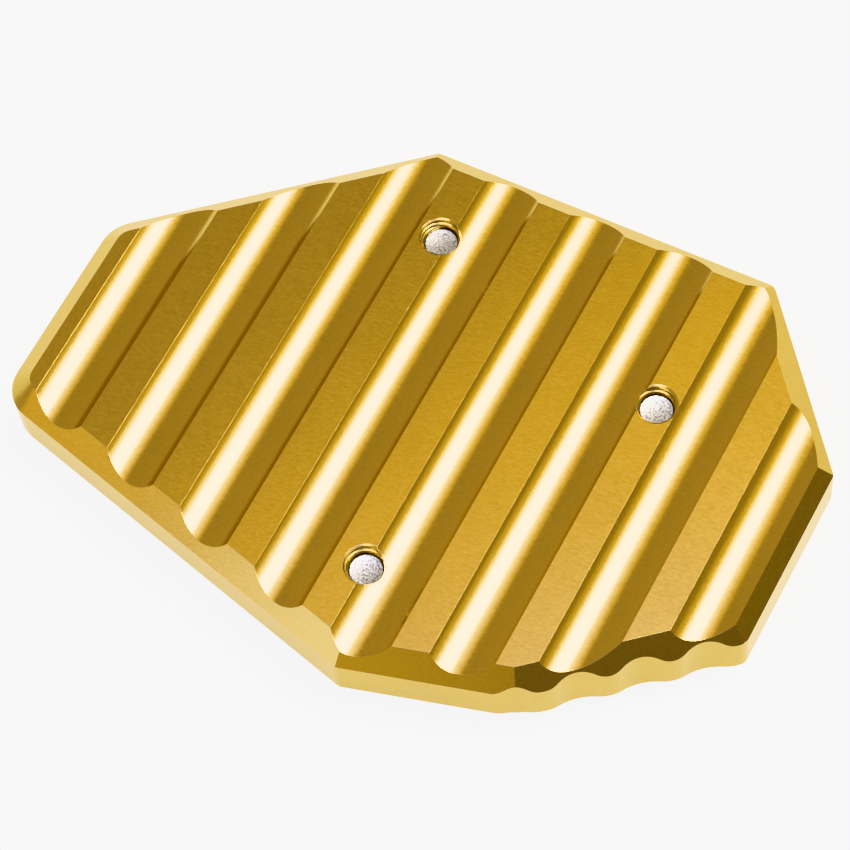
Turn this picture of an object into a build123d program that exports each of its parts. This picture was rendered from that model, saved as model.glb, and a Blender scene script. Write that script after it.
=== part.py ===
"""Kickstand foot enlarger: a grooved base plate and a horseshoe clamp plate, held by three screws.

Millimetres. The part lies as photographed, on its clamp plate with the grooved face up. The origin is
the middle of the base plate's outline, on the surface that the part lies on. X runs across the grooves,
Y runs along them and Z is up.
"""
from build123d import *
import os

# Base plate outline, seen from above: the straight left and right edges, then the other corners
plate_length = 96.8
plate_width = 69.3
left_edge_front_y = -21.3
left_edge_back_y = 5.8
back_left_x = -15.8
back_left_y = 33.7
back_right_x = 30.9
right_edge_back_y = 14.1
right_edge_front_y = -10.4
front_right_x = 27.3
front_right_y = -28.6
front_left_x = 6.3
blunt_corner_radius = 5.0
sharp_corner_radius = 1.8
right_back_corner_radius = 0.6

# Base plate section
plate_thickness = 10.0
edge_bevel = 2.75
back_bevel = 1.25

# Round-bottomed grooves across the plate
groove_pitch = 12.0
groove_width = 7.6
groove_depth = 1.5
groove_margin = 4.6

# Scallops along the front right edge, the first one on the front right corner
scallop_count = 4
scallop_from_corner = 7.5
scallop_pitch = 7.75
scallop_radius = 4.75
scallop_depth = 1.0
scallop_crest_radius = 3.2

# Seat for the foot of the stand, in the back of the base plate
foot_x = 4.2
foot_y = 1.6
foot_width = 36.0
foot_length = 46.0
foot_depth = 5.0
foot_mouth_bevel = 0.5
leg_angle = 196.5

# Screws: M5 by 12 with a flat countersunk head, on a circle round the foot
screw_circle_diameter = 47.8
screw_angles = (123.5, 26.3, 269.5)
thread_diameter = 5.0
thread_clearance = 0.05
hole_rim_width = 0.2
hole_rim_depth = 0.14
screw_length = 12.0
screw_tip_bevel = 0.45
screw_tip_dish = 0.12
head_diameter = 9.6
head_rim = 0.3
head_recess = 0.35
hex_across_flats = 3.0
hex_depth = 2.0

# Clamp plate: a horseshoe whose mouth lets the leg of the stand through
clamp_thickness = 4.0
clamp_margin = 7.0
clamp_arm_reach = 20.0
clamp_hole_clearance = 0.25
clamp_corner_radius = 2.5
clamp_bevel = 0.6
leg_slot_width = 24.0

# The surface that the part lies on is at 0
back_z = clamp_thickness
land_z = back_z + plate_thickness

# Two points nearer than this are the same point
same_place = 0.01

left_front = Vector(-plate_length / 2, left_edge_front_y)
left_back = Vector(-plate_length / 2, left_edge_back_y)
back_left = Vector(back_left_x, back_left_y)
back_right = Vector(back_right_x, plate_width / 2)
right_back = Vector(plate_length / 2, right_edge_back_y)
right_front = Vector(plate_length / 2, right_edge_front_y)
front_right = Vector(front_right_x, front_right_y)
front_left = Vector(front_left_x, -plate_width / 2)
corners = [left_front, left_back, back_left, back_right, right_back, right_front, front_right, front_left]
blunt_corners = [left_front, left_back]
sharp_corners = [back_left, back_right, right_front, front_left]

foot_centre = Vector(foot_x, foot_y)
along_leg = Pos(foot_centre) * Rot(0, 0, leg_angle)
screw_reach = Vector(screw_circle_diameter / 2, 0)
screw_places = [foot_centre + screw_reach.rotate(Axis.Z, angle) for angle in screw_angles]
upwards = (Align.CENTER, Align.CENTER, Align.MIN)


def plate_outline():
    """The outline with its two blunt corners rounded and the others left sharp."""
    radii = [blunt_corner_radius if corner in blunt_corners else 0 for corner in corners]
    return make_face(FilletPolyline(*corners, radius=radii, close=True))


def scallop_centres():
    """The first scallop is outside the front right corner, and the others follow along the edge."""
    along = (right_front - front_right).normalized()
    outward = Vector(along.Y, -along.X)
    other_along = (front_right - front_left).normalized()
    other_outward = Vector(other_along.Y, -other_along.X)
    reach = scallop_radius - scallop_depth
    centres = [front_right + (outward + other_outward).normalized() * reach]
    for step in range(scallop_count - 1):
        place = front_right + along * (scallop_from_corner + step * scallop_pitch)
        centres.append(place + outward * reach)
    return centres


def vertices_at(shape, centres, distance):
    """The corners of a shape that lie at one distance from any of the centres."""
    return [
        vertex
        for vertex in shape.vertices()
        if any(abs((Vector(vertex) - centre).length - distance) < same_place for centre in centres)
    ]


def wall_outline():
    """The outline of the upright wall: scalloped, with the crests and the sharp corners eased."""
    centres = scallop_centres()
    outline = plate_outline() - [Pos(centre) * Circle(scallop_radius) for centre in centres]
    outline = fillet(vertices_at(outline, centres, scallop_radius), scallop_crest_radius)
    outline = fillet(vertices_at(outline, sharp_corners, 0), sharp_corner_radius)
    return fillet(vertices_at(outline, [right_back], 0), right_back_corner_radius)


def groove_bars():
    """Long round bars that cut the grooves, counted from the left edge."""
    radius = (groove_width**2 / 4 + groove_depth**2) / (2 * groove_depth)
    count = int((plate_length - groove_margin - edge_bevel) // groove_pitch) + 1
    first_x = -plate_length / 2 + groove_margin + groove_width / 2
    bar = Rot(90, 0, 0) * Cylinder(radius, 2 * plate_width)
    height = land_z - groove_depth + radius
    return [Pos(first_x + step * groove_pitch, 0, height) * bar for step in range(count)]


def leg_slot(width, length):
    """A round-ended slot that starts round the foot's centre and runs along the leg."""
    return along_leg * Pos((length - width) / 2, 0) * SlotOverall(length, width)


def make_base_plate():
    blank = extrude(plate_outline(), plate_thickness)
    blank = chamfer(blank.faces().sort_by(Axis.Z)[-1].edges(), edge_bevel)
    blank = chamfer(blank.faces().sort_by(Axis.Z)[0].edges(), back_bevel)
    plate = blank & extrude(wall_outline(), plate_thickness)
    plate -= extrude(leg_slot(foot_width, foot_length), foot_depth)
    plate = chamfer(plate.faces().sort_by(Axis.Z)[0].inner_wires()[0].edges(), foot_mouth_bevel)
    plate = Pos(0, 0, back_z) * plate
    plate -= groove_bars()
    hole_radius = thread_diameter / 2
    tapped_hole = Cylinder(hole_radius, land_z, align=upwards)
    rim = Cone(hole_radius, hole_radius + hole_rim_width, hole_rim_depth, align=upwards)
    tapped_hole += Pos(0, 0, land_z - hole_rim_depth) * rim
    return plate - [Pos(place) * tapped_hole for place in screw_places]


def make_clamp_plate():
    radius = screw_circle_diameter / 2 + clamp_margin
    reached = along_leg * Pos(clamp_arm_reach - radius, 0) * Rectangle(2 * radius, 2 * radius)
    outline = (Pos(foot_centre) * Circle(radius)) & reached
    outline -= leg_slot(leg_slot_width, 2 * radius)
    clamp = extrude(fillet(outline.vertices(), clamp_corner_radius), clamp_thickness)
    faces = clamp.faces().sort_by(Axis.Z)
    clamp = chamfer(faces[0].edges() + faces[-1].edges(), clamp_bevel)
    hole_radius = thread_diameter / 2 + clamp_hole_clearance
    seat_radius = head_diameter / 2 + head_rim + head_recess
    hole = Cylinder(hole_radius, clamp_thickness, align=upwards)
    hole += Cone(seat_radius, hole_radius, seat_radius - hole_radius, align=upwards)
    return clamp - [Pos(place) * hole for place in screw_places]


def make_screw():
    """One screw standing on its head, with its thread as a plain shank and a shallow dish in its end."""
    shank_radius = thread_diameter / 2 - thread_clearance
    head_radius = head_diameter / 2
    screw = Cylinder(head_radius, head_rim, align=upwards)
    head = Cone(head_radius, shank_radius, head_radius - shank_radius, align=upwards)
    screw += Pos(0, 0, head_rim) * head
    screw += Cylinder(shank_radius, screw_length, align=upwards)
    screw = chamfer(screw.edges().group_by(Axis.Z)[-1], screw_tip_bevel)
    tip_radius = shank_radius - screw_tip_bevel
    dish_radius = (tip_radius**2 + screw_tip_dish**2) / (2 * screw_tip_dish)
    screw -= Pos(0, 0, screw_length - screw_tip_dish + dish_radius) * Sphere(dish_radius)
    return screw - extrude(RegularPolygon(hex_across_flats / 2, 6, major_radius=False), hex_depth)


def make_clamp_screws():
    screw = Pos(0, 0, head_recess) * make_screw()
    return Compound([Pos(place) * screw for place in screw_places])


os.makedirs("parts", exist_ok=True)
export_step(make_base_plate(), "parts/base_plate.step")
export_step(make_clamp_plate(), "parts/clamp_plate.step")
export_step(make_clamp_screws(), "parts/clamp_screws.step")
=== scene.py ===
"""Looks of the kickstand foot enlarger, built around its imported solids. Metres, in the solids' frame."""

import math

import bmesh
import bpy
from mathutils import Matrix, Vector


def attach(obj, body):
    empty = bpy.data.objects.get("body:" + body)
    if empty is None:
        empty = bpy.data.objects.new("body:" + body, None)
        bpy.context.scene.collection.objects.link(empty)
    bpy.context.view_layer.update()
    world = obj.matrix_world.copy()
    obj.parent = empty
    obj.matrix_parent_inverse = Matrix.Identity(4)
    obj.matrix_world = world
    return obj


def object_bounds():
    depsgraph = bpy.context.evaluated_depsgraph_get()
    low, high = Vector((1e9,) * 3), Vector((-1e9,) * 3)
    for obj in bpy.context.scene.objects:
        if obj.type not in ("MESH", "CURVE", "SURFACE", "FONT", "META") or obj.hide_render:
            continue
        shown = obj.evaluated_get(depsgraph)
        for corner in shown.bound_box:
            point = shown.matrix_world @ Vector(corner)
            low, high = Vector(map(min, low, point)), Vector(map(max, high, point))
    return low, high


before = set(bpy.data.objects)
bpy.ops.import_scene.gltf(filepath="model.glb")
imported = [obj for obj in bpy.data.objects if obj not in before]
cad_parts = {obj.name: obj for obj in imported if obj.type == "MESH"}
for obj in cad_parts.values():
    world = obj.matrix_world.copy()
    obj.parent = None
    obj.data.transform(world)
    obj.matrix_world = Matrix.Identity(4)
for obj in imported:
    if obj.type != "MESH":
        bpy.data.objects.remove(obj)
cad_low, cad_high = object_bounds()

MM = 0.001
FULL_TURN = 360.0
FULL_SHARE = (0.0, 1.0)
UPRIGHT = (0.0, 0.0, 1.0)
WHITE = (1.0, 1.0, 1.0)

# Camera, fitted to the photograph: place in millimetres, axes in the solids' frame
IMAGE_SIDE = 850
FOCAL_PIXELS = 3194.0
SENSOR_MM = 36.0
CAMERA_CLIP = (0.01, 50.0)
CAMERA_PLACE = (104.341, -147.347, 359.307)
CAMERA_RIGHT = (0.881069, 0.468393, -0.065764)
CAMERA_DOWN = (0.392140, -0.801118, -0.452145)
CAMERA_FORWARD = (-0.264466, 0.372582, -0.889517)

# White floor just below the part, which glows as a light table does
FLOOR_SIDE = 6.0
FLOOR_DROP = 0.00005
FLOOR_GLOW = 1.14
FLOOR_COLOR = (0.12, 0.12, 0.11, 1.0)
FLOOR_ROUGHNESS = 0.9

# Round softbox far overhead, with a warm scrim and a cool one nearer. A lean is in degrees to the right
# of upright, and a back is the share of the direction that points to the back
OVERHEAD_SOFTBOX_DISTANCE = 3.2
OVERHEAD_SOFTBOX_LEAN = 20.3
OVERHEAD_SOFTBOX_BACK = 0.204
OVERHEAD_SOFTBOX_DIAMETER = 2.07
OVERHEAD_SOFTBOX_RADIANCE = 30.5
WARM_SCRIM_DISTANCE = 0.85
WARM_SCRIM_LEAN = 19.7
WARM_SCRIM_BACK = 0.003
WARM_SCRIM_DIAMETER = 1.547
WARM_SCRIM_RADIANCE = 0.815
WARM_SCRIM_COLOR = (1.0, 0.75, 0.01)
COOL_SCRIM_DISTANCE = 0.83
COOL_SCRIM_LEAN = 17.4
COOL_SCRIM_BACK = -0.1755
COOL_SCRIM_DIAMETER = 1.398
COOL_SCRIM_RADIANCE = 2.53
COOL_SCRIM_COLOR = (0.09, 0.198, 1.0)

# Round softbox above the camera
FRONT_SOFTBOX_DIRECTION = (0.05, -0.5, 0.86)
FRONT_SOFTBOX_DISTANCE = 1.4
FRONT_SOFTBOX_DIAMETER = 0.9
FRONT_SOFTBOX_RADIANCE = 6.0

# Low cards in front, at the right and behind. Azimuths and elevations are in degrees
FRONT_CARD_DISTANCE = 1.0
FRONT_CARD_AZIMUTH = 67.5
FRONT_CARD_ELEVATION = 11.0
FRONT_CARD_WIDTH = 0.447
FRONT_CARD_HEIGHT = 0.39
FRONT_CARD_RADIANCE = 3.4
FRONT_CARD_COLOR = (0.226, 0.355, 1.0)
FRONT_BOUNCE_DISTANCE = 1.02
FRONT_BOUNCE_AZIMUTH = 69.25
FRONT_BOUNCE_ELEVATION = 13.5
FRONT_BOUNCE_WIDTH = 1.142
FRONT_BOUNCE_HEIGHT = 0.48
FRONT_BOUNCE_RADIANCE = 0.53
FRONT_BOUNCE_COLOR = (1.0, 0.78, 0.12)
RIGHT_CARD_DIRECTION = (0.859, 0.365, 0.358)
RIGHT_CARD_DISTANCE = 1.0
RIGHT_CARD_WIDTH = 1.02
RIGHT_CARD_HEIGHT = 0.335
RIGHT_CARD_RADIANCE = 0.29
RIGHT_CARD_COLOR = (1.0, 0.76, 0.4)
BACK_BOUNCE_DIRECTION = (0.38, 0.92, 0.1)
BACK_BOUNCE_DISTANCE = 0.27
BACK_BOUNCE_WIDTH = 0.22
BACK_BOUNCE_HEIGHT = 0.054
BACK_BOUNCE_RADIANCE = 1.65
BACK_BOUNCE_COLOR = (1.0, 0.6, 0.03)

# Dim room, lighter towards one side
ROOM_STRENGTH = (0.232, 0.664)
ROOM_LIGHT_SIDE = (-0.9, -0.2, 0.2)
ROOM_SPREAD = (-0.6, 0.9)
ROOM_COLOR = (1.24, 1.0, 0.78, 1.0)

# Noise of all materials: how fine it goes, and the range of values that it mostly keeps to
NOISE_DETAIL = 3.0
NOISE_RANGE = (0.3, 0.7)
NO_STRETCH = (1.0, 1.0, 1.0)

# Gold anodised finish. The edges are rounded more at the left end than at the right one
GOLD_DEEP = (0.423, 0.302, 0.071, 1.0)
GOLD_PALE = (0.477, 0.341, 0.079, 1.0)
# The lighter gold below is laid along the edges as a painted highlight, for the bright lines where the
# edges catch the light
GOLD_EDGE_HIGHLIGHT = (0.58, 0.44, 0.17, 1.0)
GOLD_EDGE_TINT = (1.0, 0.94, 0.76, 1.0)
GOLD_TONE_RANGE = (0.35, 0.65)
GOLD_ROUGHNESS = (0.15, 0.19)
DRIFT_SCALE = 90.0
GRAIN_SCALE = 4600.0
GRAIN_STRETCH = (0.35, 1.0, 1.0)
GRAIN_SHARE = 0.7
GRAIN_HEIGHT = 0.000006
EDGE_RADIUS = 0.0001
EDGE_SAMPLES = 6
EDGE_ROUNDING = (0.42, 0.2)
# Where the painted edge highlight starts, and how strongly it is laid on
EDGE_HIGHLIGHT_RANGE = (1.0, 0.96)
EDGE_HIGHLIGHT_SHARE = (0.0, 0.3)

# Bare steel of the screws
STEEL_DARK = (0.18, 0.177, 0.157, 1.0)
STEEL_PALE = (0.42, 0.41, 0.36, 1.0)
STEEL_TONE_RANGE = (0.35, 0.6)
STEEL_ROUGHNESS = (0.27, 0.36)
DIMPLE_SCALE = 4000.0
DIMPLE_HEIGHT = 0.00003

# Grooved face of the base plate. Millimetres
LAND_Z = 14.0
GROOVE_PITCH = 12.0
GROOVE_FIRST_X = -40.0
GROOVE_WIDTH = 7.6
GROOVE_DEPTH = 1.5
GROOVE_RADIUS = (GROOVE_WIDTH**2 / 4 + GROOVE_DEPTH**2) / (2 * GROOVE_DEPTH)

# Tapped holes and the thread in them, above the ends of the screws. Millimetres and degrees. A far depth
# is where the ridge passes the hole's far side, as the camera sees it. The shoulder and the crest of the
# ridge are each a radius and a height
HOLE_PLACES = ((-8.99, 21.53), (25.63, 12.19), (3.99, -22.30))
HOLE_RADIUS = 2.5
RIM_DEPTH = 0.14
RIM_Z = LAND_Z - RIM_DEPTH
RIM_TAPER = 0.35
THREAD_FAR_DEPTHS = (1.03, 1.40, 1.30)
THREAD_FAR_SIDE = 125.0
THREAD_PITCH = 0.8
THREAD_SHOULDER = (2.27, 0.24)
THREAD_CREST = (2.155, 0.04)
THREAD_ROOT_FLAT = 0.06
THREAD_LOW_Z = 12.1
THREAD_LEAD_IN = 45.0
THREAD_EMBED = 0.04
THREAD_SET_BACK = 0.02
THREAD_LEAST = 0.06
THREAD_STEPS = 72
THREAD_CUTS = 3
THREAD_WELD = 0.002
THREAD_SHARP_ANGLE = 35.0


def set_place(thing, origin, right, up, backward):
    """Puts a camera or a light at a place, with its own axes along three directions."""
    turn = Matrix([right, up, backward]).transposed()
    thing.matrix_world = Matrix.Translation(origin) @ turn.to_4x4()


def add_camera():
    """The camera that took the photograph."""
    data = bpy.data.cameras.new("photo_camera")
    data.sensor_width = SENSOR_MM
    data.lens = FOCAL_PIXELS * SENSOR_MM / IMAGE_SIDE
    data.clip_start, data.clip_end = CAMERA_CLIP
    camera = bpy.data.objects.new("photo_camera", data)
    bpy.context.scene.collection.objects.link(camera)
    origin = Vector(CAMERA_PLACE) * MM
    set_place(camera, origin, Vector(CAMERA_RIGHT), -Vector(CAMERA_DOWN), -Vector(CAMERA_FORWARD))
    bpy.context.scene.camera = camera


def new_material(name):
    """A new material, with its nodes, its links and its shader."""
    material = bpy.data.materials.new(name)
    material.use_nodes = True
    nodes = material.node_tree.nodes
    return material, nodes, material.node_tree.links, nodes["Principled BSDF"]


def add_floor():
    """A floor that is seen from above only, so that it doesn't hide the part's underside."""
    mesh = bpy.data.meshes.new("floor")
    half = FLOOR_SIDE / 2
    low = -FLOOR_DROP
    corners = [(-half, -half, low), (half, -half, low), (half, half, low), (-half, half, low)]
    mesh.from_pydata(corners, [], [(0, 1, 2, 3)])
    floor = bpy.data.objects.new("floor", mesh)
    bpy.context.scene.collection.objects.link(floor)
    material, nodes, links, shader = new_material("floor_white")
    shader.inputs["Base Color"].default_value = FLOOR_COLOR
    shader.inputs["Roughness"].default_value = FLOOR_ROUGHNESS
    shader.inputs["Specular IOR Level"].default_value = 0.0
    shader.inputs["Emission Color"].default_value = (*WHITE, 1.0)
    shader.inputs["Emission Strength"].default_value = FLOOR_GLOW
    side = nodes.new("ShaderNodeNewGeometry")
    clear = nodes.new("ShaderNodeBsdfTransparent")
    one_sided = nodes.new("ShaderNodeMixShader")
    links.new(side.outputs["Backfacing"], one_sided.inputs["Fac"])
    links.new(shader.outputs["BSDF"], one_sided.inputs[1])
    links.new(clear.outputs["BSDF"], one_sided.inputs[2])
    links.new(one_sided.outputs["Shader"], nodes["Material Output"].inputs["Surface"])
    mesh.materials.append(material)


def overhead_direction(lean_degrees, back):
    """The way to a light overhead, from its lean to the right and its share to the back."""
    lean = math.radians(lean_degrees)
    across = math.sqrt(1.0 - back**2)
    return (math.sin(lean) * across, back, math.cos(lean) * across)


def card_direction(azimuth_degrees, elevation_degrees):
    """The way to a card: its azimuth is counted from the left towards the front."""
    azimuth = math.radians(azimuth_degrees)
    elevation = math.radians(elevation_degrees)
    level = math.cos(elevation)
    return (-math.cos(azimuth) * level, -math.sin(azimuth) * level, math.sin(elevation))


def add_panel_light(name, shape, direction, distance, width, height, radiance, color):
    """A flat light that faces the part, with its height in the upright plane through the part."""
    data = bpy.data.lights.new(name, "AREA")
    data.shape = shape
    data.size = width
    data.size_y = height
    area = width * height * (math.pi / 4 if shape == "ELLIPSE" else 1.0)
    data.energy = radiance * math.pi * area
    data.color = color
    light = bpy.data.objects.new(name, data)
    bpy.context.scene.collection.objects.link(light)
    back = Vector(direction).normalized()
    side = Vector(UPRIGHT).cross(back).normalized()
    set_place(light, back * distance, side, back.cross(side), back)


def add_round_light(name, direction, distance, diameter, radiance, color):
    """A round panel light, such as a softbox or a scrim."""
    add_panel_light(name, "ELLIPSE", direction, distance, diameter, diameter, radiance, color)


def add_card(name, direction, distance, width, height, radiance, color):
    """A panel light with straight sides."""
    add_panel_light(name, "RECTANGLE", direction, distance, width, height, radiance, color)


def add_lights():
    """All the lights round the part."""
    add_round_light(
        "overhead_softbox",
        overhead_direction(OVERHEAD_SOFTBOX_LEAN, OVERHEAD_SOFTBOX_BACK),
        OVERHEAD_SOFTBOX_DISTANCE,
        OVERHEAD_SOFTBOX_DIAMETER,
        OVERHEAD_SOFTBOX_RADIANCE,
        WHITE,
    )
    add_round_light(
        "warm_scrim",
        overhead_direction(WARM_SCRIM_LEAN, WARM_SCRIM_BACK),
        WARM_SCRIM_DISTANCE,
        WARM_SCRIM_DIAMETER,
        WARM_SCRIM_RADIANCE,
        WARM_SCRIM_COLOR,
    )
    add_round_light(
        "cool_scrim",
        overhead_direction(COOL_SCRIM_LEAN, COOL_SCRIM_BACK),
        COOL_SCRIM_DISTANCE,
        COOL_SCRIM_DIAMETER,
        COOL_SCRIM_RADIANCE,
        COOL_SCRIM_COLOR,
    )
    add_round_light(
        "front_softbox",
        FRONT_SOFTBOX_DIRECTION,
        FRONT_SOFTBOX_DISTANCE,
        FRONT_SOFTBOX_DIAMETER,
        FRONT_SOFTBOX_RADIANCE,
        WHITE,
    )
    add_card(
        "front_card",
        card_direction(FRONT_CARD_AZIMUTH, FRONT_CARD_ELEVATION),
        FRONT_CARD_DISTANCE,
        FRONT_CARD_WIDTH,
        FRONT_CARD_HEIGHT,
        FRONT_CARD_RADIANCE,
        FRONT_CARD_COLOR,
    )
    add_card(
        "front_bounce",
        card_direction(FRONT_BOUNCE_AZIMUTH, FRONT_BOUNCE_ELEVATION),
        FRONT_BOUNCE_DISTANCE,
        FRONT_BOUNCE_WIDTH,
        FRONT_BOUNCE_HEIGHT,
        FRONT_BOUNCE_RADIANCE,
        FRONT_BOUNCE_COLOR,
    )
    add_card(
        "right_card",
        RIGHT_CARD_DIRECTION,
        RIGHT_CARD_DISTANCE,
        RIGHT_CARD_WIDTH,
        RIGHT_CARD_HEIGHT,
        RIGHT_CARD_RADIANCE,
        RIGHT_CARD_COLOR,
    )
    add_card(
        "back_bounce",
        BACK_BOUNCE_DIRECTION,
        BACK_BOUNCE_DISTANCE,
        BACK_BOUNCE_WIDTH,
        BACK_BOUNCE_HEIGHT,
        BACK_BOUNCE_RADIANCE,
        BACK_BOUNCE_COLOR,
    )


def add_spread(nodes, links, value, source, target, smooth=False):
    """A value carried from one range over to another, on a straight line or on a smooth curve."""
    spread = nodes.new("ShaderNodeMapRange")
    spread.interpolation_type = "SMOOTHSTEP" if smooth else "LINEAR"
    spread.inputs["From Min"].default_value = source[0]
    spread.inputs["From Max"].default_value = source[1]
    spread.inputs["To Min"].default_value = target[0]
    spread.inputs["To Max"].default_value = target[1]
    links.new(value, spread.inputs["Value"])
    return spread.outputs["Result"]


def add_room():
    """The dim room, lighter towards one side."""
    world = bpy.data.worlds.new("dim_room")
    bpy.context.scene.world = world
    world.use_nodes = True
    nodes = world.node_tree.nodes
    links = world.node_tree.links
    background = nodes["Background"]
    background.inputs["Color"].default_value = ROOM_COLOR
    coordinate = nodes.new("ShaderNodeTexCoord")
    dot = nodes.new("ShaderNodeVectorMath")
    dot.operation = "DOT_PRODUCT"
    dot.inputs[1].default_value = Vector(ROOM_LIGHT_SIDE).normalized()
    links.new(coordinate.outputs["Generated"], dot.inputs[0])
    strength = add_spread(nodes, links, dot.outputs["Value"], ROOM_SPREAD, ROOM_STRENGTH, smooth=True)
    links.new(strength, background.inputs["Strength"])


def add_noise(nodes, links, scale, stretch):
    """A noise fixed to the piece, drawn out along an axis by a share below one."""
    place = nodes.new("ShaderNodeTexCoord")
    drawn = nodes.new("ShaderNodeVectorMath")
    drawn.operation = "MULTIPLY"
    drawn.inputs[1].default_value = stretch
    links.new(place.outputs["Object"], drawn.inputs[0])
    noise = nodes.new("ShaderNodeTexNoise")
    noise.inputs["Scale"].default_value = scale
    noise.inputs["Detail"].default_value = NOISE_DETAIL
    links.new(drawn.outputs["Vector"], noise.inputs["Vector"])
    return noise.outputs["Fac"]


def add_bump(nodes, links, value, height):
    """A bump node that raises the surface by a value, up to a height."""
    bump = nodes.new("ShaderNodeBump")
    bump.inputs["Distance"].default_value = height
    links.new(value, bump.inputs["Height"])
    return bump


def mix_sockets(mix, kind):
    """The two inputs and the output that a mix node has for one kind of data."""
    mixed_inputs = [socket for socket in mix.inputs if socket.name in ("A", "B")]
    first, second = [socket for socket in mixed_inputs if socket.type == kind]
    return first, second, next(socket for socket in mix.outputs if socket.type == kind)


def add_color_mix(nodes, links, share, one, two):
    """A mix of two colours; the first one may also be another node's output."""
    mix = nodes.new("ShaderNodeMix")
    mix.data_type = "RGBA"
    first, second, mixed = mix_sockets(mix, "RGBA")
    links.new(share, mix.inputs["Factor"])
    if isinstance(one, tuple):
        first.default_value = one
    else:
        links.new(one, first)
    second.default_value = two
    return mixed


def add_eased_edges(nodes, links):
    """The normal with the sharp edges eased, and the share of painted edge highlight, which is zero off
    the edges.
    """
    bevel = nodes.new("ShaderNodeBevel")
    bevel.samples = EDGE_SAMPLES
    bevel.inputs["Radius"].default_value = EDGE_RADIUS
    surface = nodes.new("ShaderNodeNewGeometry")
    place = nodes.new("ShaderNodeTexCoord")
    across = nodes.new("ShaderNodeSeparateXYZ")
    links.new(place.outputs["Object"], across.inputs["Vector"])
    ends = (cad_low[0], cad_high[0])
    rounding = add_spread(nodes, links, across.outputs["X"], ends, EDGE_ROUNDING)
    eased = nodes.new("ShaderNodeMix")
    eased.data_type = "VECTOR"
    flat, rounded, eased_normal = mix_sockets(eased, "VECTOR")
    links.new(rounding, eased.inputs["Factor"])
    links.new(surface.outputs["Normal"], flat)
    links.new(bevel.outputs["Normal"], rounded)
    agree = nodes.new("ShaderNodeVectorMath")
    agree.operation = "DOT_PRODUCT"
    links.new(bevel.outputs["Normal"], agree.inputs[0])
    links.new(surface.outputs["Normal"], agree.inputs[1])
    # Painted highlight: a share that grows where the eased normal leaves the surface's normal, that is on
    # the edges
    painted_edge_highlight = add_spread(nodes, links, agree.outputs["Value"], EDGE_HIGHLIGHT_RANGE, EDGE_HIGHLIGHT_SHARE)
    return eased_normal, painted_edge_highlight


def gold_material(name, with_eased_edges):
    """Gold anodised aluminium: a fine grain, slow drifts of tone and, if asked for, eased edges with a
    painted highlight laid on them.
    """
    material, nodes, links, shader = new_material(name)
    shader.inputs["Metallic"].default_value = 1.0
    shader.inputs["Specular Tint"].default_value = GOLD_EDGE_TINT
    drift = add_noise(nodes, links, DRIFT_SCALE, NO_STRETCH)
    grain = add_noise(nodes, links, GRAIN_SCALE, GRAIN_STRETCH)
    blend = nodes.new("ShaderNodeMix")
    blend.inputs["Factor"].default_value = GRAIN_SHARE
    links.new(drift, blend.inputs["A"])
    links.new(grain, blend.inputs["B"])
    tone = add_spread(nodes, links, blend.outputs["Result"], GOLD_TONE_RANGE, FULL_SHARE)
    gold = add_color_mix(nodes, links, tone, GOLD_DEEP, GOLD_PALE)
    rough = add_spread(nodes, links, grain, NOISE_RANGE, GOLD_ROUGHNESS)
    links.new(rough, shader.inputs["Roughness"])
    bump = add_bump(nodes, links, grain, GRAIN_HEIGHT)
    if with_eased_edges:
        eased_normal, painted_edge_highlight = add_eased_edges(nodes, links)
        links.new(eased_normal, bump.inputs["Normal"])
        # Lighter gold laid on the edges: a painted highlight
        gold = add_color_mix(nodes, links, painted_edge_highlight, gold, GOLD_EDGE_HIGHLIGHT)
    links.new(gold, shader.inputs["Base Color"])
    links.new(bump.outputs["Normal"], shader.inputs["Normal"])
    return material


def steel_material():
    """Bare steel, with the dimples of a cut and tumbled screw end."""
    material, nodes, links, shader = new_material("screw_steel_look")
    shader.inputs["Metallic"].default_value = 1.0
    dimples = add_noise(nodes, links, DIMPLE_SCALE, NO_STRETCH)
    tone = add_spread(nodes, links, dimples, STEEL_TONE_RANGE, FULL_SHARE)
    links.new(add_color_mix(nodes, links, tone, STEEL_DARK, STEEL_PALE), shader.inputs["Base Color"])
    rough = add_spread(nodes, links, dimples, NOISE_RANGE, STEEL_ROUGHNESS)
    links.new(rough, shader.inputs["Roughness"])
    bump = add_bump(nodes, links, dimples, DIMPLE_HEIGHT)
    links.new(bump.outputs["Normal"], shader.inputs["Normal"])
    return material


def dress_node(name, material):
    """Gives a CAD node its material, and leaves its shape alone."""
    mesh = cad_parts[name].data
    mesh.materials.clear()
    mesh.materials.append(material)


def surface_height(x):
    """Height of the grooved face at a place across the grooves, in millimetres."""
    step = round((x - GROOVE_FIRST_X) / GROOVE_PITCH)
    offset = x - GROOVE_FIRST_X - step * GROOVE_PITCH
    if abs(offset) > GROOVE_WIDTH / 2:
        return LAND_Z
    return LAND_Z - GROOVE_DEPTH + GROOVE_RADIUS - math.sqrt(GROOVE_RADIUS**2 - offset**2)


def thread_section():
    """Radius and height of the points round one ridge, from its lower root to its upper root."""
    half_root = (THREAD_PITCH - THREAD_ROOT_FLAT) / 2
    corners = [(HOLE_RADIUS, -half_root), THREAD_CREST, THREAD_SHOULDER, (HOLE_RADIUS, half_root)]
    section = [(HOLE_RADIUS + THREAD_EMBED, -half_root), corners[0]]
    for (radius, height), (next_radius, next_height) in zip(corners, corners[1:]):
        for cut in range(1, THREAD_CUTS + 1):
            share = cut / THREAD_CUTS
            between_radius = radius + share * (next_radius - radius)
            between_height = height + share * (next_height - height)
            section.append((between_radius, between_height))
    return section + [(HOLE_RADIUS + THREAD_EMBED, half_root)]


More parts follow.
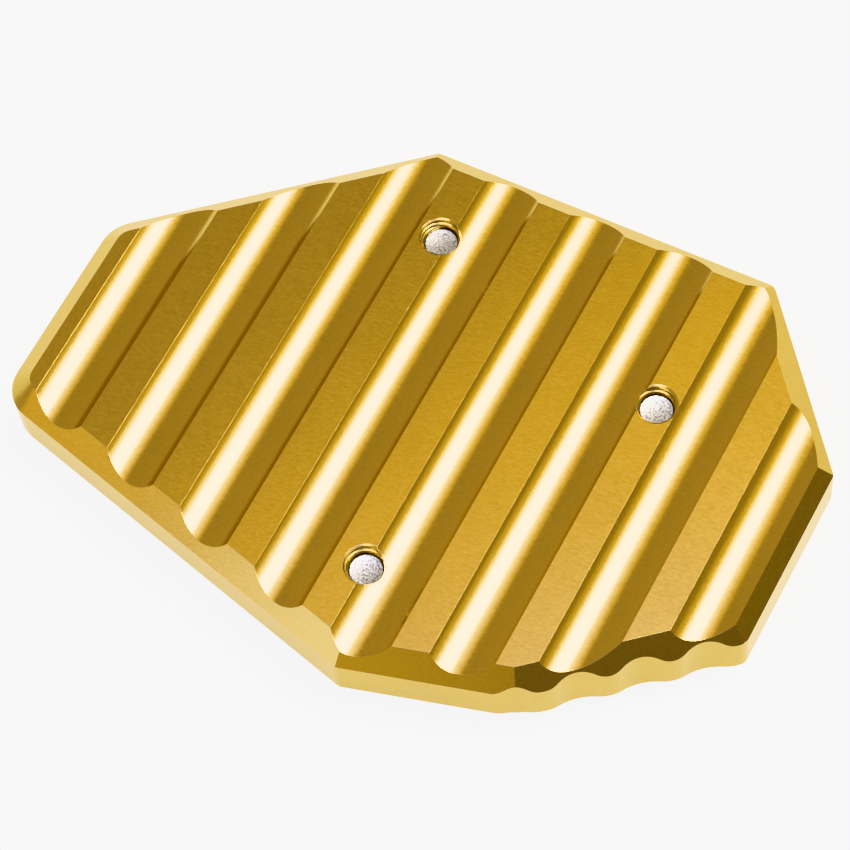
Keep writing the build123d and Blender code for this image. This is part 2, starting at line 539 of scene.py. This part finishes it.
def thread_ring(centre_x, centre_y, start, turned):
    """One section of the ridge, tapered towards the hole's rim and cut by the grooved face."""
    angle = math.radians(start + turned)
    middle = THREAD_LOW_Z + THREAD_PITCH * turned / FULL_TURN
    lead = min(1.0, turned / THREAD_LEAD_IN)
    ring = []
    for radius, height in thread_section():
        z = min(middle + height, RIM_Z - THREAD_SET_BACK)
        if radius < HOLE_RADIUS:
            tapered = HOLE_RADIUS - (RIM_Z - z) * RIM_TAPER
            radius = max(HOLE_RADIUS + lead * (radius - HOLE_RADIUS), tapered)
        x = centre_x + radius * math.cos(angle)
        y = centre_y + radius * math.sin(angle)
        z = min(z, surface_height(x) - THREAD_SET_BACK)
        ring.append(Vector((x, y, z)) * MM)
    return ring


def thread_runs(centre_x, centre_y, start):
    """The stretches of the ridge that are left below the grooved face, as lists of sections."""
    turns = (LAND_Z + THREAD_PITCH / 2 - THREAD_LOW_Z) / THREAD_PITCH
    runs = [[]]
    for step in range(int(turns * THREAD_STEPS) + 1):
        ring = thread_ring(centre_x, centre_y, start, FULL_TURN * step / THREAD_STEPS)
        heights = [corner.z for corner in ring]
        if max(heights) - min(heights) > THREAD_LEAST * MM:
            runs[-1].append(ring)
        elif runs[-1]:
            runs.append([])
    return [run for run in runs if len(run) > 1]


def skin_run(build, run):
    """Joins the sections of one stretch of the ridge into a closed skin."""
    rings = [[build.verts.new(corner) for corner in ring] for ring in run]
    for one, two in zip(rings, rings[1:]):
        for i in range(len(one)):
            j = (i + 1) % len(one)
            build.faces.new((one[i], one[j], two[j], two[i]))
    build.faces.new(rings[0])
    build.faces.new(list(reversed(rings[-1])))


def add_threads(material):
    """The ridges of the thread in each hole."""
    build = bmesh.new()
    for (centre_x, centre_y), far_depth in zip(HOLE_PLACES, THREAD_FAR_DEPTHS):
        turned_at_far_side = FULL_TURN * (LAND_Z - far_depth - THREAD_LOW_Z) / THREAD_PITCH
        for run in thread_runs(centre_x, centre_y, THREAD_FAR_SIDE - turned_at_far_side):
            skin_run(build, run)
    bmesh.ops.remove_doubles(build, verts=build.verts, dist=THREAD_WELD * MM)
    bmesh.ops.dissolve_degenerate(build, edges=build.edges, dist=THREAD_WELD * MM)
    bmesh.ops.recalc_face_normals(build, faces=build.faces)
    mesh = bpy.data.meshes.new("hole_threads")
    build.to_mesh(mesh)
    build.free()
    mesh.materials.append(material)
    mesh.shade_smooth()
    mesh.set_sharp_from_angle(angle=math.radians(THREAD_SHARP_ANGLE))
    threads = bpy.data.objects.new("hole_threads", mesh)
    bpy.context.scene.collection.objects.link(threads)
    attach(threads, "root")


add_camera()
add_floor()
add_room()
add_lights()
gold = gold_material("gold_anodised_look", True)
dress_node("base_plate", gold)
dress_node("clamp_plate", gold)
dress_node("clamp_screws", steel_material())
add_threads(gold_material("gold_thread_look", False))

bpy.context.scene.view_settings.view_transform = "Khronos PBR Neutral"
